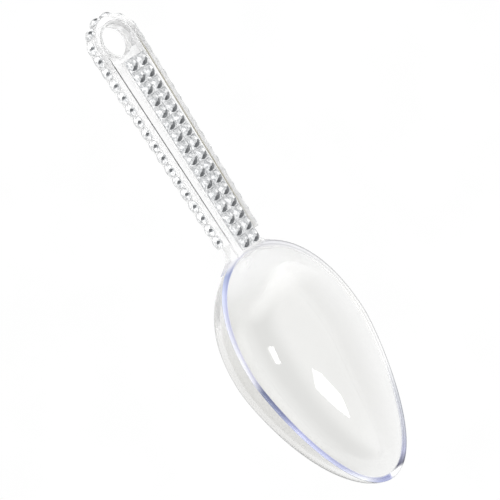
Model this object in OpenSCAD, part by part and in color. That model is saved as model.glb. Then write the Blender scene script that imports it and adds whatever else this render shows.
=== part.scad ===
// Clear serving scoop: an egg-shaped bowl with a flat tapered handle.
// The handle has a hang hole, an edge band and rows of stones: square ones on its
// front and round ones on its edge.
// Millimetres. X runs from the hang hole to the bowl lip, +Z comes out of the bowl.
// The origin is the centre of the hang hole, half way through the handle.

/* [Bowl] */
// Distance from the hang hole to the lip of the bowl
lip_x = 162.4; // [158:0.2:168]
// Distance from the hang hole to the back of the bowl
bowl_back_x = 76.5; // [76.4:0.1:76.8]
// Distance from the hang hole to the widest place of the bowl
bowl_wide_x = 113; // [108:0.5:118]
// Outer width of the bowl
bowl_w = 52.4; // [48:0.2:56]
// Outer depth of the bowl below its rim
bowl_depth = 26.4; // [22:0.2:30]
// Wall thickness of the bowl
wall = 1.9; // [1.4:0.1:2.4]

/* [Handle] */
// Thickness of the handle
handle_t = 5.4; // [5:0.1:6]
// Half width of the handle core at the hang hole end
end_half = 6.95; // [6.8:0.05:7.4]
// Half width of the handle core where it meets the neck
neck_half = 5.5; // [5.2:0.1:5.8]
// Where the side of the handle core starts to flare into the neck
neck_x = 72.5; // [71:0.5:73]
// Radius of the fillet in each side of the neck
neck_r = 6.5; // [5.5:0.5:7]
// How far the rim of the bowl lies below the front of the handle
rim_drop = 1.4; // [0.8:0.1:1.8]
// Radius of the hang hole
hole_r = 5.2; // [4.6:0.1:5.3]
// Rounding of the two mouths of the hang hole
mouth_r = 1.2; // [0.8:0.1:1.4]

/* [Edge band] */
// Thickness of the band around the handle
band_t = 2.0; // [1.6:0.1:2.4]
// Where the band ends, before the neck
band_end_x = 72.9; // [71:0.1:73]

/* [Stones] */
// Number of stones in each row along the handle
row_count = 16; // [10:1:16]
// Spacing of the stones on the front of the handle
front_pitch = 4.36; // [4:0.02:4.36]
// Where the front stones start
front_start_x = 7.2; // [7:0.1:7.2]
// Height of the raised bed under the front stones
bed_h = 1.25; // [0.8:0.05:1.6]
// Height of a stone above what it sits on
stone_h = 1.3; // [1:0.05:1.6]
// Height of the straight edge of a front stone, at its corners
girdle_h = 0.3; // [0.2:0.05:0.4]
// Width of the flat table on top of a front stone
table_w = 0.5; // [0.4:0.1:1.2]
// Height of the straight edge of a round edge stone
edge_girdle_h = 0.45; // [0.3:0.05:0.6]
// Number of facets in each tier of a round edge stone
facets = 8; // [6:2:10]
// Number of stones around the end of the handle
end_count = 6; // [4:1:6]

/* [Hidden] */
$fn = 64;
glue = 0.05;
stone_play = 0.1;
ridge_h = 0.2;
middle_share = 0.62;
middle_r = 0.7;
table_r = 0.36;
end_x = 0.7;
top_z = handle_t / 2;
rim_z = top_z - rim_drop;
taper = atan((end_half - neck_half) / (neck_x - end_x));
band_half = end_half + glue + band_t;
side_len = (band_end_x - end_x) / cos(taper) - band_half * tan(taper);
side_pitch = side_len / row_count;
bed_z = top_z + glue;
bed_len = row_count * front_pitch + 0.2;
step_inset = 0.6;
flare = 58;
flare_len = 4;
arc_steps = 18;
back_steps = 12;
front_steps = 16;
steps = back_steps + front_steps;
clear = "#e9ecf5";
crystal = "#d3d7e0";

// A point of the cubic Bezier curve from a to d.
function bezier(a, b, c, d, t) =
    pow(1 - t, 3) * a + 3 * pow(1 - t, 2) * t * b + 3 * (1 - t) * t * t * c + pow(t, 3) * d;

// Point i of a curve that rises from the back of the bowl to size at its widest
// place and falls to zero at the lip. The pulls shape its two halves.
function bowl_curve(i, inset, size, back_pull, back_lean, lip_pull, lip_lean) =
    let (back = bowl_back_x + inset, lip = lip_x - inset,
         back_len = bowl_wide_x - back, lip_len = lip - bowl_wide_x)
    i <= back_steps
        ? bezier([back, 0], [back + back_lean, back_pull[0] * size],
                 [bowl_wide_x - back_pull[1] * back_len, size], [bowl_wide_x, size],
                 i / back_steps)
        : bezier([bowl_wide_x, size], [bowl_wide_x + lip_pull[1] * lip_len, size],
                 [lip - lip_lean, lip_pull[0] * size], [lip, 0],
                 (i - back_steps) / front_steps);

// Half width of the bowl, and its depth, on a surface that lies inset inside the outer one.
function half_width(i, inset) =
    bowl_curve(i, inset, bowl_w / 2 - inset, [0.5, 0.69], 0, [0.7, 0.16], 0);
function depth(i, inset) =
    bowl_curve(i, inset, bowl_depth - inset, [0.6, 0.65], 14, [0.88, 0.2], 8);

// Point of the bowl surface, round its section from one rim (0) to the other (180).
function bowl_point(i, angle, inset) =
    let (w = half_width(i, inset), d = depth(i, inset), s = sin(angle))
    [w[0] + (d[0] - w[0]) * s * s, w[1] * cos(angle), rim_z - d[1] * s];

// The rim in plan: down one side and back up the other.
function rim_outline(inset) = concat(
    [for (i = [0 : steps]) half_width(i, inset)],
    [for (i = [steps - 1 : -1 : 1]) [half_width(i, inset)[0], -half_width(i, inset)[1]]]);

// Half width of the handle core at x, grown sideways. Its side cuts just inside the end circle.
function core_half(x, grow) =
    (end_half + grow - 0.02) / cos(taper) - (x - end_x) * tan(taper);

// Solid egg half, inset inside the outer surface of the bowl, with a flat top at the rim.
module egg(inset) {
    row = arc_steps + 1;
    function spot(i, j) = i == 0 ? 0 : i == steps ? 1 : 2 + (i - 1) * row + j;
    points = concat(
        [bowl_point(0, 0, inset), bowl_point(steps, 0, inset)],
        [for (i = [1 : steps - 1], j = [0 : arc_steps])
            bowl_point(i, j * 180 / arc_steps, inset)]);
    near_side = [for (i = [0 : steps - 1], j = [0 : arc_steps - 1]) if (i > 0)
        [spot(i, j), spot(i, j + 1), spot(i + 1, j)]];
    far_side = [for (i = [0 : steps - 1], j = [0 : arc_steps - 1]) if (i < steps - 1)
        [spot(i + 1, j), spot(i, j + 1), spot(i + 1, j + 1)]];
    top = concat([for (i = [0 : steps]) spot(i, 0)],
                 [for (i = [steps - 1 : -1 : 1]) spot(i, arc_steps)]);
    polyhedron(points, concat(near_side, far_side, [top]));
}

// The handle core up to x, grown sideways, with thickness t.
module core_block(x, grow, t) {
    half = [core_half(end_x, grow), core_half(x, grow)];
    translate([end_x, 0, -t / 2]) cylinder(h = t, r = end_half + grow);
    translate([0, 0, -t / 2]) linear_extrude(t)
        polygon([[end_x, half[0]], [x, half[1]], [x, -half[1]], [end_x, -half[0]]]);
}

// Plan of one side of the neck, which flares from the handle core to the bowl.
module neck_side_plan() {
    centre_y = neck_half + neck_r;
    end = [neck_x + neck_r * sin(flare), centre_y - neck_r * cos(flare)];
    tip = end + flare_len * [cos(flare), sin(flare)];
    difference() {
        polygon([[neck_x, 0], [neck_x, centre_y], end, tip, [tip[0], 0]]);
        translate([neck_x, centre_y]) circle(neck_r);
    }
}

// Cutter for the hang hole, with its mouths rounded outwards.
module hang_hole() {
    straight = top_z - mouth_r;
    translate([0, 0, -handle_t]) cylinder(h = 2 * handle_t, r = hole_r);
    for (side = [0, 1]) mirror([0, 0, side])
        rotate_extrude() difference() {
            translate([0, straight]) square([hole_r + mouth_r, mouth_r + 1]);
            translate([hole_r + mouth_r, straight]) circle(mouth_r);
        }
}

// One square stone with its back at z = 0: a straight edge under eight facets and a small table.
// The facets meet at the corners and at the middles of the sides, which stand a little higher.
module square_stone(w) {
    half = w / 2;
    spots = [[1, 1], [0, 1], [-1, 1], [-1, 0], [-1, -1], [0, -1], [1, -1], [1, 0]];
    points = concat(
        [for (i = [0 : 2 : 6]) [spots[i][0] * half, spots[i][1] * half, 0]],
        [for (i = [0 : 7])
            [spots[i][0] * half, spots[i][1] * half, girdle_h + (i % 2) * ridge_h]],
        [for (i = [0 : 7])
            [table_w / 2 * cos(45 + 45 * i), table_w / 2 * sin(45 + 45 * i), stone_h]]);
    sides = [for (q = [0 : 3])
        [4 + 2 * q, 5 + 2 * q, 4 + (2 * q + 2) % 8, (q + 1) % 4, q]];
    low_facets = [for (i = [0 : 7]) [4 + i, 12 + i, 4 + (i + 1) % 8]];
    high_facets = [for (i = [0 : 7]) [12 + i, 12 + (i + 1) % 8, 4 + (i + 1) % 8]];
    table = [for (i = [7 : -1 : 0]) 12 + i];
    polyhedron(points, concat(sides, low_facets, high_facets, [table], [[0, 1, 2, 3]]));
}

// One round stone with its back at z = 0: a round edge, two tiers of facets and a table.
module round_stone(w) {
    half = w / 2;
    tier = middle_share * (stone_h - edge_girdle_h);
    cylinder(h = edge_girdle_h, r = half, $fn = 2 * facets);
    translate([0, 0, edge_girdle_h])
        cylinder(h = tier, r1 = half, r2 = middle_r * half, $fn = facets);
    translate([0, 0, edge_girdle_h + tier])
        cylinder(h = stone_h - edge_girdle_h - tier, r1 = middle_r * half, r2 = table_r * half,
                 $fn = facets);
}

module scoop_body() {
    color(clear) difference() {
        union() {
            egg(0);
            core_block(bowl_back_x + 2 * wall, 0, handle_t);
            for (side = [0, 1]) mirror([0, side, 0])
                translate([0, 0, -top_z]) linear_extrude(handle_t - rim_drop) neck_side_plan();
        }
        egg(wall);
        translate([0, 0, rim_z]) linear_extrude(handle_t) polygon(rim_outline(step_inset));
        hang_hole();
    }
}

module edge_band() {
    color(clear) difference() {
        core_block(band_end_x, glue + band_t, handle_t);
        core_block(lip_x, glue, 2 * handle_t);
    }
}

module stone_bed() {
    corner = [front_start_x - 0.1, -front_pitch - stone_play];
    color(clear) translate([corner[0], corner[1], bed_z])
        cube([bed_len, -2 * corner[1], bed_h]);
}

// A row of front stones on one side of the middle line.
module front_row(side) {
    for (i = [0 : row_count - 1])
        translate([front_start_x + (i + 0.5) * front_pitch, side * front_pitch / 2,
                   bed_z + bed_h + glue])
            square_stone(front_pitch - stone_play);
}

module front_stones_left() { color(crystal) front_row(1); }

module front_stones_right() { color(crystal) front_row(-1); }

// A row of stones on the outside of one straight side of the band.
module edge_row(side) {
    mirror([0, side < 0 ? 1 : 0, 0])
        translate([end_x, 0, 0]) rotate([0, 0, -taper])
            for (i = [0 : row_count - 1])
                translate([(i + 0.5) * side_pitch, band_half + glue, 0]) rotate([-90, 0, 0])
                    round_stone(side_pitch - stone_play);
}

module edge_stones_left() { color(crystal) edge_row(1); }

module edge_stones_right() { color(crystal) edge_row(-1); }

module edge_stones_end() {
    first = 90 - taper;
    turn = (180 + 2 * taper) / end_count;
    color(crystal) translate([end_x, 0, 0])
        for (i = [0 : end_count - 1])
            rotate([0, 0, first + (i + 0.5) * turn]) translate([band_half + glue, 0, 0])
                rotate([0, 90, 0]) round_stone(side_pitch - stone_play);
}

scoop_body();
edge_band();
stone_bed();
front_stones_left();
front_stones_right();
edge_stones_left();
edge_stones_right();
edge_stones_end();
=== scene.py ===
"""A clear plastic ice scoop with faceted stones on its handle, on a pale floor in soft studio light."""
import math
import random

import bmesh
import bpy
from mathutils import Matrix, Vector


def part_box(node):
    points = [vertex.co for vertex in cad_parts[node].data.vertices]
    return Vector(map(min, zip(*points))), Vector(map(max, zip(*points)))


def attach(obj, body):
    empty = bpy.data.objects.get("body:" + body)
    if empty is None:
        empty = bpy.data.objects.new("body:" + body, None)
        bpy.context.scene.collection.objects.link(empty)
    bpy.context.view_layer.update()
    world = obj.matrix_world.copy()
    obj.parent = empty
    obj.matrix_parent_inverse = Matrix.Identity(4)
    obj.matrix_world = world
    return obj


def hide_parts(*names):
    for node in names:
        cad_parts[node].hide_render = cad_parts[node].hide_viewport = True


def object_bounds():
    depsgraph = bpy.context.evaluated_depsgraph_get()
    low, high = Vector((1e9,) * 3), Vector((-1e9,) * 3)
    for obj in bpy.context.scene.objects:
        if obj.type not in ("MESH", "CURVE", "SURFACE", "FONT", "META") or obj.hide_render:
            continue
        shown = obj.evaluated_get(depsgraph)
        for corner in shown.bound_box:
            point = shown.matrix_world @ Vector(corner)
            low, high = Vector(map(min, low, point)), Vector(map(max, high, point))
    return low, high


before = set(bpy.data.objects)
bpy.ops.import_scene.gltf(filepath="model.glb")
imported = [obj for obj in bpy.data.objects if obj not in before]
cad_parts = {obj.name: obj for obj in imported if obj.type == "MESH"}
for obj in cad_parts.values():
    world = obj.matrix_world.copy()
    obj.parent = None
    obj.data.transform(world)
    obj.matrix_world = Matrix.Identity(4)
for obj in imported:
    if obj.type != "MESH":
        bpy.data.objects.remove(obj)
CAD_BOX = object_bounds()
MM = 0.001

# ---- Places taken from the frame, and sizes of the scoop, in metres ----
BODY_LO, BODY_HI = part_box("scoop_body")
BAND_LO, BAND_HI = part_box("edge_band")
BED_LO, BED_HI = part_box("stone_bed")
FRONT_LO, FRONT_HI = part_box("front_stones_left")
EDGE_LO, EDGE_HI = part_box("edge_stones_left")

TOP_Z = BODY_HI.z
RIM_DROP = 1.4 * MM
RIM_Z = TOP_Z - RIM_DROP
LIP_X = BODY_HI.x
BOWL_BACK_X = 76.5 * MM
BOWL_WIDE_X = 113 * MM
BOWL_HALF = BODY_HI.y
BOWL_DEPTH = RIM_Z - BODY_LO.z
WALL = 1.9 * MM
RIM_ROUND = 0.45 * MM
# How the curves of the bowl leave its two ends and its widest place: pulls are shares, leans lengths.
PLAN_CURVE = dict(back_pull=(0.5, 0.69), back_lean=0, lip_pull=(0.7, 0.16), lip_lean=0)
KEEL_CURVE = dict(back_pull=(0.6, 0.65), back_lean=14 * MM, lip_pull=(0.88, 0.2), lip_lean=8 * MM)
# The attribute across changes by this much from ring to ring, over this many rings.
ACROSS_STEP = 0.15
ACROSS_RINGS = 12

END_X = 0.7 * MM
GLUE = 0.05 * MM
CORE_INTO_BOWL_X = 84 * MM
BAND_END_X = BAND_HI.x
BAND_OUTER = END_X - BAND_LO.x
BAND_T = 2.0 * MM
BAND_OUTER_ROUND = 0.35 * MM
BAND_INNER_ROUND = 0.12 * MM
BED_ROUND = 0.15 * MM
CORE_END = BAND_OUTER - BAND_T - GLUE
CORE_NECK = 5.5 * MM
NECK_X = 72.5 * MM
TAPER = math.atan((CORE_END - CORE_NECK) / (NECK_X - END_X))
NECK_ROUND = 6.5 * MM
FLARE = math.radians(58)
WEB_REACH = 4 * MM
WEB_ROUND = 0.2 * MM
HOLE_R = 5.2 * MM
MOUTH_R = 1.2 * MM
EDGE_ROUND = 0.25 * MM

ROW_COUNT = 16
END_COUNT = 6
STONE_PLAY = 0.1 * MM
GIRDLE_H = 0.3 * MM
RIDGE_H = 0.2 * MM
EDGE_GIRDLE_H = 0.45 * MM
CORNERS = 16
FACETS = 8
# Rings above the girdle: radius as a share of the stone's, height as a share of what is left.
ROUND_MIDDLE_R, ROUND_MIDDLE_H, ROUND_TABLE_R = 0.70, 0.62, 0.36
DOME_FOOT_R, DOME_MIDDLE_R, DOME_MIDDLE_H, DOME_TABLE_R = 0.93, 0.68, 0.6, 0.28
DOME_LIFT = 0.05 * MM
DOME_TURN = math.radians(28)
FRONT_SEED, EDGE_SEED, END_SEED = 2, 6, 9

# ---- Light of the studio ----
ROOM_DIM = 0.25
ROOM_BRIGHT = 1.9
DIM_MIDDLE_Y = 0.27
CARD_WAY = (0.78, 0.6, 0.19)
CARD_LIGHT = 0.9
WINDOW_RADIANCE = 10
WINDOW_DISTANCE = 1.2
# Where the bowl mirrors each window, and the directions from there to the corners of the window.
SMALL_WINDOW_AT = Vector((109.8, 4.2, -22.8)) * MM
SMALL_WINDOW = ((0.19, 0.32, 0.93), (0.17, 0.17, 0.97), (-0.01, 0.24, 0.97), (0.02, 0.36, 0.93))
TALL_WINDOW_AT = Vector((129.6, 11.3, -17.9)) * MM
TALL_WINDOW = ((-0.23, -0.40, 0.89), (-0.31, -0.52, 0.80), (-0.48, -0.60, 0.64),
               (-0.66, -0.42, 0.62), (-0.61, -0.37, 0.70), (-0.34, -0.20, 0.92))

# ---- Looks. Each pair of places is where a change starts and where it is complete. ----
PLASTIC_IOR = 1.5
BODY_ROUGH = 0.008
TRIM_ROUGH = 0.02
STONE_ROUGH = 0.03
BODY_MILK_TONE = 0.72
SIDE_CHANGE_Y = (-1 * MM, 1 * MM)
BOWL_START_X = (80 * MM, 90 * MM)
BOWL_DEEP_Z = (0, -17 * MM)
NEAR_WALL_Y = (-2 * MM, -10 * MM)
NEAR_WALL_Z = (-1.5 * MM, -7 * MM)
NEAR_WALL_X = (98 * MM, 118 * MM)
HOLE_RING_X = (13 * MM, 8 * MM)
NECK_HAZE_START_X = (67 * MM, 73 * MM)
NECK_HAZE_END_X = (98 * MM, 80 * MM)
TRIM_MILK_X = (4 * MM, 12 * MM)
# Painted shade where the bowl is seen edge-on: where it sets in, and its grey.
EDGE_SHADE_FACING = (0.80, 0.97)
EDGE_SHADE_TONE = 0.5
# Painted shade for the dim floor under the bowl, seen through it: over the whole bowl, deeper low down,
# and on its near wall.
BOWL_PAINTED_SHADE = (0.94, 0.94, 0.935)
DEEP_PAINTED_SHADE = (0.80, 0.80, 0.785)
NEAR_WALL_PAINTED_SHADE = (0.87, 0.865, 0.855)
# Painted light of the rim, for light carried along the plastic: colours with dark bands and a glint at
# the tip, at places along X, in metres, on its near (-Y) and its far side.
NEAR_RIM_PAINTED_LIGHT = (
    (0.079, (0.58, 0.58, 0.60)),
    (0.081, (0.27, 0.31, 0.47)),
    (0.086, (0.47, 0.50, 0.66)),
    (0.094, (0.49, 0.50, 0.60)),
    (0.106, (0.60, 0.60, 0.64)),
    (0.113, (0.54, 0.54, 0.60)),
    (0.118, (0.13, 0.15, 0.23)),
    (0.127, (0.18, 0.20, 0.32)),
    (0.135, (0.42, 0.44, 0.62)),
    (0.151, (0.39, 0.41, 0.55)),
    (0.158, (0.66, 0.67, 0.69)),
    (0.161, (0.29, 0.31, 0.47)),
)
FAR_RIM_PAINTED_LIGHT = (
    (0.079, (0.55, 0.55, 0.57)),
    (0.094, (0.60, 0.60, 0.60)),
    (0.108, (0.64, 0.64, 0.63)),
    (0.130, (0.66, 0.66, 0.66)),
    (0.141, (0.44, 0.45, 0.48)),
    (0.152, (0.38, 0.39, 0.45)),
    (0.157, (0.34, 0.35, 0.47)),
    (0.1600, (0.10, 0.10, 0.14)),
    (0.1608, (0.95, 0.95, 0.95)),
)
# Painted light and shade lines that run along the rim, by the attribute across. They multiply the
# colours above.
FAR_RIM_PAINTED_LINES = (
    (-0.7, (0.55, 0.55, 0.56)),
    (0.0, (0.62, 0.62, 0.63)),
    (0.3, (1.0, 1.0, 1.0)),
    (0.7, (1.0, 1.0, 1.0)),
    (1.0, (0.78, 0.78, 0.78)),
    (1.4, (0.90, 0.90, 0.90)),
    (2.2, (1.30, 1.30, 1.28)),
)
NEAR_RIM_PAINTED_LINES = (
    (-0.7, (1.0, 1.0, 1.0)),
    (0.2, (0.95, 0.95, 0.97)),
    (0.6, (0.80, 0.80, 0.86)),
    (0.9, (0.62, 0.62, 0.72)),
    (1.2, (0.90, 0.90, 0.94)),
    (1.6, (1.0, 1.0, 1.0)),
)
RIM_SPAN = (0.076, 0.164)
RIM_START_X = (77 * MM, 79 * MM)
LINE_SPAN = (-0.8, 2.4)
RIM_OUTSIDE = (-0.8, -0.65)
RIM_INSIDE = (2.1, 1.6)
SEAM_AWAY = (0.46 * MM, 0.34 * MM)
SEAM_DROP = (0.5 * MM, 0.3 * MM)
SEAM_START_X = (1 * MM, 8 * MM)
SEAM_FADE_X = (74 * MM, 55 * MM)
NEAR_SEAM_TONE = (0.03, 0.03, 0.03)
FAR_SEAM_TONE = (0.20, 0.18, 0.10)
EDGE_LINE_IN = 0.1 * MM
EDGE_LINE_AWAY = (0.32 * MM, 0.15 * MM)
EDGE_LINE_TONE = 0.38
STONE_SHARE = 0.85
# Colours for the painted light and shade of the facets, from dark to white.
STONE_PAINTED_RAMP = ((0.0, (0.010, 0.014, 0.018)), (0.25, (0.24, 0.25, 0.26)), (1.0, (1.0, 1.0, 1.0)))
TONE_SPREAD = (0.85, 1.12)
# Painted light and shade of each facet of a stone: how bright each facet is, with dark kites and bright
# highlights for what the facets mirror. Kites and stars are listed every 45 degrees, breaks every 22.5.
FRONT_PAINTED_FACETS = {
    "kite": (0.04, 0.10, 0.90, 0.50, 0.50, 0.52, 0.48, 0.03),
    "star": (0.08, 0.52, 0.66, 0.52, 0.48, 0.50, 0.42, 0.04),
    "break": (0.10, 0.06, 0.12, 0.70, 0.80, 0.62, 0.52, 0.48,
              0.52, 0.48, 0.50, 0.52, 0.46, 0.03, 0.05, 0.08),
    "collar": (0.50, 0.52, 0.54, 0.52, 0.54, 0.42, 0.14, 0.50,
               0.52, 0.54, 0.50, 0.54, 0.50, 0.54, 0.50, 0.54),
    "table": 0.46,
    "side": 0.45,
}
EDGE_PAINTED_FACETS = {
    "kite": (0.62, 0.72, 0.04, 1.00, 1.00, 0.45, 0.50, 0.66),
    "star": (0.60, 0.25, 0.80, 1.00, 0.70, 0.55, 0.60, 0.66),
    "break": (0.66, 0.75, 0.66, 0.30, 0.45, 0.85, 0.70, 0.60,
              0.35, 0.28, 0.32, 0.45, 0.60, 0.66, 0.70, 0.66),
    "table": 0.66,
    "side": 0.60,
}


# ---- Mesh helpers ----
def new_piece(name, verts, faces, smooth_angle=30):
    """A closed mesh object with outward normals, smooth apart from edges sharper than smooth_angle."""
    mesh = bpy.data.meshes.new(name)
    mesh.from_pydata([tuple(v) for v in verts], [], [list(f) for f in faces])
    mesh.validate()
    piece = bpy.data.objects.new(name, mesh)
    bpy.context.scene.collection.objects.link(piece)
    finish_mesh(piece, smooth_angle)
    return piece


def finish_mesh(piece, smooth_angle):
    """Merges doubles, points the normals outwards and marks the sharp edges."""
    bm = bmesh.new()
    bm.from_mesh(piece.data)
    bmesh.ops.remove_doubles(bm, verts=bm.verts, dist=1e-7)
    bmesh.ops.recalc_face_normals(bm, faces=bm.faces)
    limit = math.radians(smooth_angle)
    for face in bm.faces:
        face.smooth = True
    for edge in bm.edges:
        edge.smooth = len(edge.link_faces) == 2 and edge.calc_face_angle(0) < limit
    bm.to_mesh(piece.data)
    bm.free()


def strip_faces(rows, count):
    """Quads between closed rows of count points each, numbered one row after another."""
    faces = []
    for r in range(rows - 1):
        for i in range(count):
            j = (i + 1) % count
            faces.append((r * count + i, r * count + j, (r + 1) * count + j, (r + 1) * count + i))
    return faces


def boolean(piece, tool, operation):
    """Applies one exact boolean to piece and deletes the tool."""
    modifier = piece.modifiers.new("cut", "BOOLEAN")
    modifier.object = tool
    modifier.operation = operation
    modifier.solver = "EXACT"
    graph = bpy.context.evaluated_depsgraph_get()
    mesh = bpy.data.meshes.new_from_object(piece.evaluated_get(graph))
    piece.modifiers.clear()
    piece.data = mesh
    bpy.data.objects.remove(tool)


# ---- The bowl: an egg half whose plan and profile are Bezier curves ----
def bezier(a, b, c, d, t):
    """Point at t of the cubic curve from a to d with the handles b and c."""
    s = 1 - t
    return s * s * s * a + 3 * s * s * t * b + 3 * s * t * t * c + t * t * t * d


def bowl_curve(t, inset, size, back_pull, back_lean, lip_pull, lip_lean):
    """Point at t, from the bowl's back (0) past its widest place (0.5) to its lip (1)."""
    back, lip = BOWL_BACK_X + inset, LIP_X - inset
    if t <= 0.5:
        return bezier(
            Vector((back, 0)),
            Vector((back + back_lean, back_pull[0] * size)),
            Vector((BOWL_WIDE_X - back_pull[1] * (BOWL_WIDE_X - back), size)),
            Vector((BOWL_WIDE_X, size)),
            2 * t,
        )
    return bezier(
        Vector((BOWL_WIDE_X, size)),
        Vector((BOWL_WIDE_X + lip_pull[1] * (lip - BOWL_WIDE_X), size)),
        Vector((lip - lip_lean, lip_pull[0] * size)),
        Vector((lip, 0)),
        2 * t - 1,
    )


def half_width(t, inset):
    """Point at t of the bowl's plan at the rim: its X and how far it reaches sideways."""
    return bowl_curve(t, inset, BOWL_HALF - inset, **PLAN_CURVE)


def depth(t, inset):
    """Point at t of the bowl's keel: its X and how far it lies below the rim."""
    return bowl_curve(t, inset, BOWL_DEPTH - inset, **KEEL_CURVE)


def even_spacing(points, count):
    """count + 1 points at even distances along a polyline."""
    lengths = [0.0]
    for a, b in zip(points, points[1:]):
        lengths.append(lengths[-1] + (b - a).length)
    out, k = [], 0
    for i in range(count + 1):
        want = lengths[-1] * i / count
        while k < len(points) - 2 and lengths[k + 1] < want:
            k += 1
        share = (want - lengths[k]) / max(lengths[k + 1] - lengths[k], 1e-12)
        out.append(points[k].lerp(points[k + 1], min(max(share, 0), 1)))
    return out


def level_outline(drop, inset, count, fine=600):
    """Closed plan outline of the bowl surface at a drop below the rim, 2 * count points."""
    side = []
    for k in range(fine + 1):
        t = k / fine
        w, d = half_width(t, inset), depth(t, inset)
        if d.y >= drop:
            s = 0 if drop == 0 else drop / d.y
            side.append(Vector((w.x + (d.x - w.x) * s * s, w.y * math.sqrt(max(0, 1 - s * s)))))
    side[0].y = side[-1].y = 0
    side = even_spacing(side, count)
    return side + [Vector((p.x, -p.y)) for p in side[-2:0:-1]]


def plan_normals(outline):
    """Outward unit normals of a closed plan outline that runs clockwise seen from above."""
    out = []
    for i, p in enumerate(outline):
        along = outline[(i + 1) % len(outline)] - outline[i - 1]
        out.append(Vector((-along.y, along.x)).normalized())
    return out


def bowl_rings(inset, side, levels=56, count=90):
    """Rings of the bowl skin from its rim down to its lowest point. The rim edge is rounded."""
    rings = []
    top = level_outline(0, inset, count)
    normals = plan_normals(top)
    for k in range(7):
        a = math.radians(90 - 15 * k)
        shift = RIM_ROUND * (1 - math.cos(a)) * side
        z = RIM_Z - RIM_ROUND * (1 - math.sin(a))
        rings.append([(p.x - n.x * shift, p.y - n.y * shift, z) for p, n in zip(top, normals)])
    size = BOWL_DEPTH - inset
    first = math.asin(RIM_ROUND / size)
    for k in range(1, levels):
        a = first + (math.pi / 2 - first) * k / levels
        drop = size * math.sin(a)
        rings.append([(p.x, p.y, RIM_Z - drop) for p in level_outline(drop, inset, count)])
    return rings


def skin(rings):
    """Vertices and side faces of a stack of rings. Its two ends stay open."""
    verts = [p for ring in rings for p in ring]
    return verts, strip_faces(len(rings), len(rings[0]))


def cap_ends(faces, rows, count):
    """Closes the first and the last of rows rings, each with one face."""
    faces.append(tuple(range(count)))
    faces.append(tuple(range((rows - 1) * count, rows * count)))


def bowl_shell():
    """The bowl. Its attribute across runs from 0 to 1 over the rim's flat top, outside to inside."""
    outer, inner = bowl_rings(0, 1), bowl_rings(WALL, -1)
    count = len(outer[0])
    verts, faces = skin(outer[::-1] + inner)
    for rings, first in ((outer, 0), (inner, (len(outer) + len(inner) - 1) * count)):
        z = RIM_Z - BOWL_DEPTH + (WALL if rings is inner else 0)
        ring = rings[-1]
        middle = sum(p[0] for p in ring) / count
        verts.append((middle, 0, z))
        for i in range(count):
            faces.append((first + i, first + (i + 1) % count, len(verts) - 1))
    outer_marks = [-ACROSS_STEP * min(k, ACROSS_RINGS) for k in range(len(outer))]
    inner_marks = [1 + ACROSS_STEP * min(k, ACROSS_RINGS) for k in range(len(inner))]
    marks = [mark for mark in outer_marks[::-1] + inner_marks for i in range(count)]
    marks += [outer_marks[-1], inner_marks[-1]]
    piece = new_piece("scoop_body_clear", verts, faces)
    corners = piece.data.loops
    across = piece.data.attributes.new("across", "FLOAT", "CORNER")
    across.data.foreach_set("value", [marks[corner.vertex_index] for corner in corners])
    return piece


def egg_cutter(inset):
    """A closed egg half that also reaches up past the handle, to trim what runs into the bowl."""
    rings = [[(p[0], p[1], TOP_Z + 2 * MM) for p in level_outline_3d(0, inset)]]
    size = BOWL_DEPTH - inset
    levels = 24
    rings.append(level_outline_3d(0, inset))
    for k in range(1, levels):
        rings.append(level_outline_3d(size * math.sin(math.pi / 2 * k / levels), inset))
    count = len(rings[0])
    verts, faces = skin(rings)
    cap_ends(faces, len(rings), count)
    return new_piece("cutter", verts, faces)


def level_outline_3d(drop, inset):
    """A coarser level outline, as points in space."""
    return [(p.x, p.y, RIM_Z - drop) for p in level_outline(drop, inset, 60)]


# ---- The handle ----
def core_half(x, grow):
    """Half width of the handle core at x, grown sideways."""
    return (CORE_END + grow) / math.cos(TAPER) - (x - END_X) * math.tan(TAPER)


def core_outline(x, grow, steps=48):
    """Plan of the handle core up to x: its straight sides and its round far end."""
    r = CORE_END + grow
    start = math.pi / 2 - TAPER
    points = [Vector((x, core_half(x, grow)))]
    for i in range(steps + 1):
        a = start + (2 * math.pi - 2 * start) * i / steps
        points.append(Vector((END_X + r * math.cos(a), r * math.sin(a))))
    points.append(Vector((x, -core_half(x, grow))))
    return points


def rounded_prism(name, outline_at, z0, z1, r, steps=5):
    """A plan outline raised from z0 to z1 with rounded edges. outline_at(grow) gives the plan."""
    rings = []
    for k in range(steps + 1):
        a = math.pi / 2 * (1 - k / steps)
        grow = -r * (1 - math.cos(a))
        rings.append([(p.x, p.y, z0 + r * (1 - math.sin(a))) for p in outline_at(grow)])
    for k in range(steps + 1):
        a = math.pi / 2 * k / steps
        grow = -r * (1 - math.cos(a))
        rings.append([(p.x, p.y, z1 - r * (1 - math.sin(a))) for p in outline_at(grow)])
    count = len(rings[0])
    verts, faces = skin(rings)
    cap_ends(faces, len(rings), count)
    return new_piece(name, verts, faces)


def neck_web(side):
    """One flare between the handle core and the bowl."""
    centre = Vector((NECK_X, CORE_NECK + NECK_ROUND))
    inner_y = 1 * MM

    def plan(grow):
        r = NECK_ROUND - grow
        arc = [centre + r * Vector((math.sin(a), -math.cos(a)))
               for a in (FLARE * i / 16 for i in range(17))]
        tip = arc[-1] + WEB_REACH * Vector((math.cos(FLARE), math.sin(FLARE)))
        points = [Vector((NECK_X, inner_y))] + arc + [tip, Vector((tip.x, inner_y))]
        return [Vector((p.x, p.y * side)) for p in points]

    return rounded_prism("web", plan, -TOP_Z + 0.02 * MM, RIM_Z - 0.05 * MM, WEB_ROUND)


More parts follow.
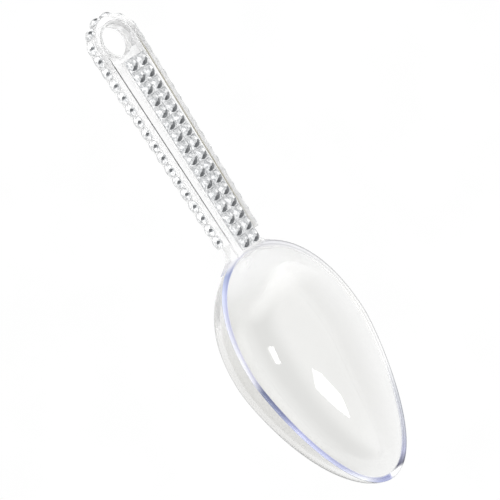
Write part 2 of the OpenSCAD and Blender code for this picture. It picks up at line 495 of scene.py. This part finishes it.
def lathe(name, profile, turns=96):
    """A closed solid of revolution about Z. profile is a list of (radius, z)."""
    verts = [(r * math.cos(2 * math.pi * i / turns), r * math.sin(2 * math.pi * i / turns), z)
             for r, z in profile for i in range(turns)]
    faces = strip_faces(len(profile), turns)
    cap_ends(faces, len(profile), turns)
    return new_piece(name, verts, faces)


def hang_hole_cutter():
    """The hang hole with its two rounded mouths, as a solid to take away."""
    straight = TOP_Z - MOUTH_R
    mouth = []
    for i in range(13):
        a = math.pi / 2 * i / 12
        mouth.append((HOLE_R + MOUTH_R * (1 - math.cos(a)), straight + MOUTH_R * math.sin(a)))
    mouth.append((HOLE_R + MOUTH_R, TOP_Z + MOUTH_R))
    profile = [(r, -z) for r, z in mouth[::-1]] + mouth
    return lathe("hole", profile)


def scoop_body():
    """Bowl, neck and handle core in one moulding, with the hang hole."""
    core = rounded_prism("core", lambda grow: core_outline(CORE_INTO_BOWL_X, grow),
                         -TOP_Z, TOP_Z, EDGE_ROUND)
    boolean(core, hang_hole_cutter(), "DIFFERENCE")
    for side in (1, -1):
        boolean(core, neck_web(side), "UNION")
    boolean(core, egg_cutter(WALL / 2), "DIFFERENCE")
    body = bowl_shell()
    boolean(body, core, "UNION")
    finish_mesh(body, 30)
    return body


def edge_band():
    """The trim round the handle: a rounded strip swept down one side, round the end and back."""
    section = []
    corners = ((GLUE + BAND_T, TOP_Z, 0), (GLUE, TOP_Z, 90), (GLUE, -TOP_Z, 180),
               (GLUE + BAND_T, -TOP_Z, 270))
    for offset, z, turn in corners:
        r = BAND_OUTER_ROUND if turn in (0, 270) else BAND_INNER_ROUND
        for i in range(6):
            a = math.radians(turn + 18 * i)
            cx = offset - math.copysign(r, math.cos(math.radians(turn + 45)))
            cz = z - math.copysign(r, math.sin(math.radians(turn + 45)))
            section.append((cx + r * math.cos(a), cz + r * math.sin(a)))
    columns = [[(p.x, p.y, z) for p in core_outline(BAND_END_X, offset, 64)] for offset, z in section]
    stations = len(columns[0])
    verts = [columns[k][i] for i in range(stations) for k in range(len(section))]
    faces = strip_faces(stations, len(section))
    cap_ends(faces, stations, len(section))
    return new_piece("edge_band_clear", verts, faces)


def stone_bed():
    """The raised bed, a bar with softened edges."""
    def plan(grow):
        near, far = BED_LO.y - grow, BED_HI.y + grow
        start, end = BED_LO.x - grow, BED_HI.x + grow
        return [Vector((start, near)), Vector((end, near)), Vector((end, far)), Vector((start, far))]

    return rounded_prism("stone_bed_clear", plan, BED_LO.z, BED_HI.z, BED_ROUND)


# ---- Stones ----
def ring(r, z, count, shift=0.0):
    """A ring of count points, turned by shift steps."""
    turns = [2 * math.pi * (k + shift) / count for k in range(count)]
    return [(r * math.cos(a), r * math.sin(a), z) for a in turns]


def crown(girdle, tones):
    """Facets above a ring of corners, the first numbered girdle: breaks, kites, stars and a table."""
    middle, table = girdle + CORNERS, girdle + CORNERS + FACETS
    faces, shades = [], []
    for k in range(FACETS):
        j = (k + 1) % FACETS
        low, tip, high = girdle + 2 * k, girdle + 2 * k + 1, girdle + (2 * k + 2) % CORNERS
        faces += [(low, tip, middle + k), (tip, high, middle + k),
                  (high, middle + j, table + j, middle + k), (table + k, middle + k, table + j)]
        shades += [tones["break"][2 * k], tones["break"][2 * k + 1], tones["kite"][j], tones["star"][k]]
    faces += [tuple(range(table, table + FACETS)), tuple(range(CORNERS))]
    shades += [tones["table"], tones["side"]]
    return faces, shades


def round_stone(w, height):
    """A round stone with its back at z = 0, and the painted light and shade of each facet."""
    r = w / 2
    middle_z = EDGE_GIRDLE_H + ROUND_MIDDLE_H * (height - EDGE_GIRDLE_H)
    verts = ring(r, 0, CORNERS) + ring(r, EDGE_GIRDLE_H, CORNERS)
    verts += ring(ROUND_MIDDLE_R * r, middle_z, FACETS, 0.5) + ring(ROUND_TABLE_R * r, height, FACETS)
    faces, shades = crown(CORNERS, EDGE_PAINTED_FACETS)
    return verts, strip_faces(2, CORNERS) + faces, [EDGE_PAINTED_FACETS["side"]] * CORNERS + shades


def square_stone(w, height):
    """A stone that rises as a round dome from a square foot with low corners, with the painted light
    and shade of its facets.
    """
    r = w / 2
    square = [(x / max(abs(x), abs(y)), y / max(abs(x), abs(y))) for x, y, z in ring(1, 0, CORNERS)]
    waist = GIRDLE_H + RIDGE_H
    foot_z = waist + DOME_LIFT
    middle_z = foot_z + DOME_MIDDLE_H * (height - foot_z)
    verts = [(x * r, y * r, 0) for x, y in square]
    verts += [(x * r, y * r, waist - RIDGE_H * abs(x * y)) for x, y in square]
    dome = ring(DOME_FOOT_R * r, foot_z, CORNERS) + ring(DOME_MIDDLE_R * r, middle_z, FACETS, 0.5)
    dome += ring(DOME_TABLE_R * r, height, FACETS)
    turn = Matrix.Rotation(DOME_TURN, 3, "Z")
    verts += [tuple(turn @ Vector(v)) for v in dome]
    faces, shades = crown(2 * CORNERS, FRONT_PAINTED_FACETS)
    sides = [FRONT_PAINTED_FACETS["side"]] * CORNERS + list(FRONT_PAINTED_FACETS["collar"])
    return verts, strip_faces(3, CORNERS) + faces, sides + shades


def stone_row(name, places, stone, seed):
    """One object that holds a stone at each place, a 4x4 matrix that carries +Z to the outside.

    Its face attribute tone holds the painted light and shade of each facet, with a small variation.
    """
    verts, faces, shades = [], [], []
    one_verts, one_faces, one_shades = stone
    chance = random.Random(seed)
    for place in places:
        base = len(verts)
        verts += [tuple(place @ Vector(v)) for v in one_verts]
        faces += [tuple(base + i for i in f) for f in one_faces]
        shades += [shade * chance.uniform(*TONE_SPREAD) for shade in one_shades]
    piece = new_piece(name, verts, faces, smooth_angle=1)
    piece.data.attributes.new("tone", "FLOAT", "FACE").data.foreach_set("value", shades)
    return piece


def front_places(side):
    """Places in one column on the bed, facing up."""
    pitch = (FRONT_HI.x - FRONT_LO.x + STONE_PLAY) / ROW_COUNT
    first = FRONT_LO.x - STONE_PLAY / 2
    return [Matrix.Translation((first + (i + 0.5) * pitch, side * pitch / 2, FRONT_LO.z))
            for i in range(ROW_COUNT)]


def edge_places(side):
    """Places along one straight side of the band, pointing away from the handle."""
    length = (BAND_END_X - END_X) / math.cos(TAPER) - BAND_OUTER * math.tan(TAPER)
    pitch = length / ROW_COUNT
    flip = Matrix.Diagonal((1, side, 1, 1))
    turn = Matrix.Translation((END_X, 0, 0)) @ Matrix.Rotation(-TAPER, 4, "Z")
    out = Matrix.Rotation(-math.pi / 2, 4, "X") @ Matrix.Diagonal((1, -1, 1, 1))
    return [flip @ turn @ Matrix.Translation(((i + 0.5) * pitch, BAND_OUTER + GLUE, 0)) @ out
            for i in range(ROW_COUNT)]


def end_places():
    """Places round the far end of the band, pointing away from the handle."""
    step = (math.pi + 2 * TAPER) / END_COUNT
    first = math.pi / 2 - TAPER
    out = Matrix.Rotation(math.pi / 2, 4, "Y") @ Matrix.Rotation(math.pi / 2, 4, "Z")
    return [Matrix.Translation((END_X, 0, 0)) @ Matrix.Rotation(first + (i + 0.5) * step, 4, "Z")
            @ Matrix.Translation((BAND_OUTER + GLUE, 0, 0)) @ out for i in range(END_COUNT)]


# ---- Materials ----
def new_material(name):
    material = bpy.data.materials.new(name)
    material.use_nodes = True
    material.node_tree.nodes.clear()
    return material, Graph(material.node_tree)


class Graph:
    """Short ways to add and wire shader nodes."""

    def __init__(self, tree):
        self.tree = tree

    def node(self, kind, **inputs):
        node = self.tree.nodes.new(kind)
        for key, value in inputs.items():
            self.feed(node.inputs[key.replace("_", " ")], value)
        return node

    def feed(self, socket, value):
        if isinstance(value, bpy.types.NodeSocket):
            self.tree.links.new(value, socket)
        else:
            socket.default_value = value

    def math(self, operation, *values):
        node = self.tree.nodes.new("ShaderNodeMath")
        node.operation = operation
        for socket, value in zip(node.inputs, values):
            self.feed(socket, value)
        return node.outputs[0]

    def product(self, first, *others):
        for other in others:
            first = self.math("MULTIPLY", first, other)
        return first

    def away(self, value, place):
        """How far value is from place."""
        return self.math("ABSOLUTE", self.math("SUBTRACT", value, place))

    def step(self, value, start, end, low=0.0, high=1.0):
        """Goes smoothly from low at start to high at end."""
        node = self.tree.nodes.new("ShaderNodeMapRange")
        node.interpolation_type = "SMOOTHSTEP"
        for key, number in (("Value", value), ("From Min", start), ("From Max", end),
                            ("To Min", low), ("To Max", high)):
            self.feed(node.inputs[key], number)
        return node.outputs[0]

    def ramp(self, value, stops, start, end):
        """Colours along a value, given as (place, colour) between start and end."""
        node = self.tree.nodes.new("ShaderNodeValToRGB")
        elements = node.color_ramp.elements
        while len(elements) > 1:
            elements.remove(elements[-1])
        for k, (place, colour) in enumerate(stops):
            share = (place - start) / (end - start)
            element = elements[0] if k == 0 else elements.new(share)
            element.position = share
            element.color = (*colour, 1)
        spread = self.tree.nodes.new("ShaderNodeMapRange")
        self.feed(spread.inputs["Value"], value)
        spread.inputs["From Min"].default_value = start
        spread.inputs["From Max"].default_value = end
        self.feed(node.inputs["Fac"], spread.outputs[0])
        return node.outputs["Color"]

    def mix_colour(self, share, first, second, blend="MIX"):
        node = self.tree.nodes.new("ShaderNodeMix")
        node.data_type = "RGBA"
        node.blend_type = blend
        self.feed(node.inputs[0], share)
        self.feed(node.inputs[6], first)
        self.feed(node.inputs[7], second)
        return node.outputs[2]

    def mix_shader(self, share, first, second):
        node = self.tree.nodes.new("ShaderNodeMixShader")
        self.feed(node.inputs[0], share)
        self.feed(node.inputs[1], first)
        self.feed(node.inputs[2], second)
        return node.outputs[0]

    def noise(self, scale, detail, stretch=(1, 1, 1)):
        where = self.node("ShaderNodeMapping", Vector=self.node("ShaderNodeTexCoord").outputs["Object"])
        where.inputs["Scale"].default_value = stretch
        return self.node("ShaderNodeTexNoise", Vector=where.outputs[0], Scale=scale,
                         Detail=detail).outputs["Fac"]

    def attribute(self, name):
        node = self.node("ShaderNodeAttribute")
        node.attribute_name = name
        return node.outputs["Fac"]

    def place(self):
        """The X, Y and Z of the point that is shaded."""
        split = self.node("ShaderNodeSeparateXYZ")
        self.feed(split.inputs[0], self.node("ShaderNodeTexCoord").outputs["Object"])
        return split.outputs

    def bump(self, height, strength, distance):
        return self.node("ShaderNodeBump", Height=height, Strength=strength,
                         Distance=distance).outputs[0]

    def output(self, surface):
        self.node("ShaderNodeOutputMaterial", Surface=surface)


def grey(value):
    return (value, value, value, 1)


def clear_shader(g, tint, rough, milk=0.0, waves=0.02, milk_tone=0.9):
    """Clear plastic, a little milky where asked. Lamps shine through it: it casts no dark shadow."""
    flow = g.noise(60, 2)
    glass = g.node("ShaderNodeBsdfPrincipled", Base_Color=tint, Transmission_Weight=1.0,
                   IOR=PLASTIC_IOR, Roughness=g.step(flow, 0.0, 1.0, low=rough, high=2 * rough),
                   Normal=g.bump(flow, waves, 0.3 * MM)).outputs[0]
    haze = g.mix_shader(0.5, g.node("ShaderNodeBsdfDiffuse", Color=grey(milk_tone)).outputs[0],
                        g.node("ShaderNodeBsdfTransparent").outputs[0])
    lamp = g.node("ShaderNodeLightPath").outputs["Is Shadow Ray"]
    return g.mix_shader(lamp, g.mix_shader(milk, glass, haze),
                        g.node("ShaderNodeBsdfTransparent").outputs[0])


def body_tint_and_painted_shade(g, x, y, z, bowl):
    """Tint of the body: streaky round the hang hole; over the bowl a painted shade, darker low in the
    bowl and in its near wall.
    """
    swirl = g.step(g.noise(220, 3, (1, 1, 0.3)), 0.35, 0.65, low=0.78, high=0.97)
    swirls = g.node("ShaderNodeCombineColor", Red=swirl, Green=swirl, Blue=swirl).outputs[0]
    tint = g.mix_colour(g.step(x, *HOLE_RING_X, high=0.9), grey(1.0), swirls)
    # Painted shade: greyer over the bowl, and darker still low in the bowl.
    tint = g.mix_colour(bowl, tint, (*BOWL_PAINTED_SHADE, 1))
    tint = g.mix_colour(g.product(bowl, g.step(z, *BOWL_DEEP_Z)), tint, (*DEEP_PAINTED_SHADE, 1))
    # Painted shade on the near wall of the bowl.
    near_wall_shade = g.product(bowl, g.step(y, *NEAR_WALL_Y), g.step(z, *NEAR_WALL_Z),
                          g.step(x, *NEAR_WALL_X, low=0.5))
    return g.mix_colour(near_wall_shade, tint, (*NEAR_WALL_PAINTED_SHADE, 1), "MULTIPLY")


def body_haze(g, x):
    """How milky the body is: round the hang hole and from the neck into the back of the bowl."""
    neck = g.product(g.step(x, *NECK_HAZE_START_X), g.step(x, *NECK_HAZE_END_X, high=0.6))
    return g.math("ADD", g.step(x, *HOLE_RING_X, high=0.35), neck)


def rim_painted_light_shader(g, x, y, across):
    """The coloured edge of the bowl, in painted light: its colour changes along X, with fine painted
    highlight and shade lines along the rim.
    """
    far_side = g.step(y, *SIDE_CHANGE_Y)
    colour = g.mix_colour(far_side, g.ramp(x, NEAR_RIM_PAINTED_LIGHT, *RIM_SPAN), g.ramp(x, FAR_RIM_PAINTED_LIGHT, *RIM_SPAN))
    lines = g.mix_colour(far_side, g.ramp(across, NEAR_RIM_PAINTED_LINES, *LINE_SPAN),
                         g.ramp(across, FAR_RIM_PAINTED_LINES, *LINE_SPAN))
    return g.node("ShaderNodeBsdfPrincipled", Base_Color=g.mix_colour(1.0, colour, lines, "MULTIPLY"),
                  Roughness=0.12, IOR=PLASTIC_IOR).outputs[0]


def body_material():
    """Clear plastic of the bowl and the handle core, with a painted grey shade where the bowl is seen
    edge-on and painted light on the rim.
    """
    material, g = new_material("clear_body")
    x, y, z = g.place()
    bowl = g.step(x, *BOWL_START_X)
    seen = g.node("ShaderNodeLightPath").outputs["Is Camera Ray"]
    glass = clear_shader(g, body_tint_and_painted_shade(g, x, y, z, bowl), BODY_ROUGH, milk=body_haze(g, x),
                         waves=0.0, milk_tone=BODY_MILK_TONE)
    # Painted shade: a grey that covers the bowl where it is seen edge-on, for the camera only.
    graze = g.node("ShaderNodeLayerWeight", Blend=0.5).outputs["Facing"]
    outline = g.node("ShaderNodeBsdfDiffuse", Color=grey(EDGE_SHADE_TONE)).outputs[0]
    edge_shade_share = g.product(bowl, g.step(graze, *EDGE_SHADE_FACING, high=0.85), seen)
    across = g.attribute("across")
    # Where the rim's painted light covers the plastic, for the camera only.
    painted_rim_share = g.product(g.step(across, *RIM_OUTSIDE), g.step(across, *RIM_INSIDE),
                          g.step(x, *RIM_START_X), seen)
    g.output(g.mix_shader(painted_rim_share, g.mix_shader(edge_shade_share, glass, outline),
                          rim_painted_light_shader(g, x, y, across)))
    return material


def trim_material():
    """Clear plastic of the band and the bed, with a dark seam to the handle and a far edge line."""
    material, g = new_material("clear_trim")
    x, y, z = g.place()
    glass = clear_shader(g, grey(1.0), TRIM_ROUGH, milk=g.step(x, *TRIM_MILK_X, low=0.3, high=0.75))
    side = g.math("ADD", g.math("ABSOLUTE", y), g.math("MULTIPLY", x, math.tan(TAPER)))
    seam_at = CORE_END / math.cos(TAPER) + END_X * math.tan(TAPER) + GLUE
    edge_share = g.product(g.step(g.away(side, seam_at + BAND_T - EDGE_LINE_IN), *EDGE_LINE_AWAY),
                           g.step(y, *SIDE_CHANGE_Y, high=0.5))
    edge = g.node("ShaderNodeBsdfDiffuse", Color=grey(EDGE_LINE_TONE)).outputs[0]
    top = g.step(z, TOP_Z - SEAM_DROP[0], TOP_Z - SEAM_DROP[1])
    seam_share = g.product(g.step(g.away(side, seam_at), *SEAM_AWAY), top, g.step(x, *SEAM_START_X),
                           g.step(x, *SEAM_FADE_X, low=0.45),
                           g.step(y, *SIDE_CHANGE_Y, low=0.97, high=0.6))
    tone = g.mix_colour(g.step(y, *SIDE_CHANGE_Y), (*NEAR_SEAM_TONE, 1), (*FAR_SEAM_TONE, 1))
    seam = g.node("ShaderNodeBsdfPrincipled", Base_Color=tone, Roughness=0.3).outputs[0]
    g.output(g.mix_shader(seam_share, g.mix_shader(edge_share, glass, edge), seam))
    return material


def stone_material():
    """Cut clear stone over a silvered back. Each facet has its own tone of painted light and shade for
    what it mirrors, broken up by fine streaks, with small painted glints.
    """
    material, g = new_material("stones")
    streaks = g.step(g.noise(1300, 3, (1, 2, 1)), 0.3, 0.7, low=0.6, high=1.35)
    # Painted glints: small bright spots over the facets.
    painted_glints = g.step(g.noise(900, 2), 0.55, 0.75, high=0.12)
    value = g.math("ADD", g.product(g.attribute("tone"), streaks), painted_glints)
    silver = g.node("ShaderNodeBsdfPrincipled", Base_Color=g.ramp(value, STONE_PAINTED_RAMP, 0.0, 1.0),
                    Metallic=0.1, Roughness=0.25, IOR=PLASTIC_IOR,
                    Normal=g.bump(g.noise(700, 3), 0.25, 0.15 * MM)).outputs[0]
    clear = clear_shader(g, grey(0.97), STONE_ROUGH, milk=0.3)
    g.output(g.mix_shader(STONE_SHARE, clear, silver))
    return material


def floor_material():
    """Pale floor that glows a little, so that it stays even and nearly white."""
    material, g = new_material("pale_floor")
    speck = g.step(g.noise(30, 3), 0.3, 0.7, low=0.995, high=1.01)
    g.output(g.node("ShaderNodeEmission", Color=grey(1.0), Strength=speck).outputs[0])
    return material


def dress(piece, material, node):
    """Gives a piece its material and lets it stand for its CAD node."""
    piece.data.materials.clear()
    piece.data.materials.append(material)
    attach(piece, "root")
    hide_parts(node)


# ---- Build the scoop ----
clear_body, clear_trim = body_material(), trim_material()
stones = stone_material()

STONE_H = FRONT_HI.z - FRONT_LO.z
front_stone = square_stone(FRONT_HI.y - FRONT_LO.y, STONE_H)
edge_stone = round_stone(EDGE_HI.z - EDGE_LO.z, STONE_H)

dress(scoop_body(), clear_body, "scoop_body")
dress(edge_band(), clear_trim, "edge_band")
dress(stone_bed(), clear_trim, "stone_bed")
for label, side in (("left", 1), ("right", -1)):
    front = stone_row(f"front_stones_{label}_cut", front_places(side), front_stone, FRONT_SEED + side)
    dress(front, stones, f"front_stones_{label}")
    edge = stone_row(f"edge_stones_{label}_cut", edge_places(side), edge_stone, EDGE_SEED + side)
    dress(edge, stones, f"edge_stones_{label}")
end = stone_row("edge_stones_end_cut", end_places(), edge_stone, END_SEED)
dress(end, stones, "edge_stones_end")


# ---- Studio ----
def build_floor():
    """A round floor just under the scoop."""
    bm = bmesh.new()
    bmesh.ops.create_circle(bm, cap_ends=True, segments=96, radius=1.5)
    mesh = bpy.data.meshes.new("floor")
    bm.to_mesh(mesh)
    bm.free()
    floor = bpy.data.objects.new("floor", mesh)
    bpy.context.scene.collection.objects.link(floor)
    centre = (CAD_BOX[0] + CAD_BOX[1]) / 2
    floor.location = (centre.x, centre.y, CAD_BOX[0].z - 0.1 * MM)
    mesh.materials.append(floor_material())


def build_world():
    """Soft pale room: dim straight above, with one darker card low towards the lip."""
    world = bpy.data.worlds.new("studio")
    bpy.context.scene.world = world
    world.use_nodes = True
    world.node_tree.nodes.clear()
    g = Graph(world.node_tree)
    way = g.node("ShaderNodeTexCoord").outputs["Generated"]
    split = g.node("ShaderNodeSeparateXYZ")
    g.feed(split.inputs[0], way)
    x, y, z = split.outputs
    ahead = g.step(x, 0.5, 0.9)
    sides = g.step(g.away(y, DIM_MIDDLE_Y), 0.08, 0.62, low=ROOM_DIM, high=ROOM_BRIGHT)
    sides = g.math("MAXIMUM", sides, g.product(ahead, ROOM_BRIGHT))
    behind = g.product(g.step(y, -0.35, -0.85, high=0.15), g.step(x, 0.5, 0.2))
    sides = g.math("SUBTRACT", sides, behind)
    above = g.math("MAXIMUM", g.step(z, 0.0, 0.35), ahead)
    room = g.math("ADD", g.product(g.math("SUBTRACT", sides, 1.0), above), 1.0)
    card = g.node("ShaderNodeVectorMath")
    card.operation = "DOT_PRODUCT"
    g.feed(card.inputs[0], way)
    card.inputs[1].default_value = Vector(CARD_WAY).normalized()
    light = g.product(room, g.step(card.outputs["Value"], 0.98, 0.85, low=CARD_LIGHT))
    lit = g.node("ShaderNodeBackground", Color=grey(1.0), Strength=light).outputs[0]
    seen = g.node("ShaderNodeBackground", Color=grey(1.0), Strength=1.0).outputs[0]
    camera_ray = g.node("ShaderNodeLightPath").outputs["Is Camera Ray"]
    g.node("ShaderNodeOutputWorld", Surface=g.mix_shader(camera_ray, lit, seen))


def build_window(name, mirrored_at, ways):
    """A glowing pane that the bowl mirrors as a window. ways are the directions to its corners."""
    ways = [Vector(way).normalized() for way in ways]
    middle = sum(ways, Vector()).normalized()
    bm = bmesh.new()
    corners = [mirrored_at + way * WINDOW_DISTANCE / way.dot(middle) for way in ways]
    bm.faces.new([bm.verts.new(corner) for corner in corners])
    mesh = bpy.data.meshes.new(name)
    bm.to_mesh(mesh)
    bm.free()
    window = bpy.data.objects.new(name, mesh)
    bpy.context.scene.collection.objects.link(window)
    material, g = new_material(name)
    g.output(g.node("ShaderNodeEmission", Color=grey(1.0), Strength=WINDOW_RADIANCE).outputs[0])
    mesh.materials.append(material)
    window.visible_camera = False


def build_camera():
    """Looks down on the open bowl from its near side, with the handle running up to the left."""
    tilt = math.radians(36.5)
    roll = math.radians(57.68)
    span = 156.7 * MM
    middle_x = 78 * MM
    lift = 0.33 * MM
    lens = 1000
    sensor = 36
    back = Vector((0, -math.sin(tilt), math.cos(tilt)))
    across = Vector((0, math.cos(tilt), math.sin(tilt)))
    along = Vector((1, 0, 0))
    right = along * math.cos(roll) + across * math.sin(roll)
    up = -along * math.sin(roll) + across * math.cos(roll)
    target = Vector((middle_x, 0, RIM_Z)) + across * lift
    data = bpy.data.cameras.new("camera")
    data.lens = lens
    data.sensor_width = sensor
    camera = bpy.data.objects.new("camera", data)
    bpy.context.scene.collection.objects.link(camera)
    distance = span * lens / sensor
    turn = Matrix((right, up, back)).transposed().to_4x4()
    camera.matrix_world = Matrix.Translation(target + back * distance) @ turn
    data.clip_end = 20
    bpy.context.scene.camera = camera


build_floor()
build_world()
build_window("small_window", SMALL_WINDOW_AT, SMALL_WINDOW)
build_window("tall_window", TALL_WINDOW_AT, TALL_WINDOW)
build_camera()
scene = bpy.context.scene
scene.view_settings.view_transform = "Standard"
scene.cycles.use_denoising = True
scene.cycles.use_adaptive_sampling = False
scene.cycles.sample_clamp_indirect = 2
scene.cycles.max_bounces = 24
scene.cycles.transmission_bounces = 24
scene.cycles.glossy_bounces = 12
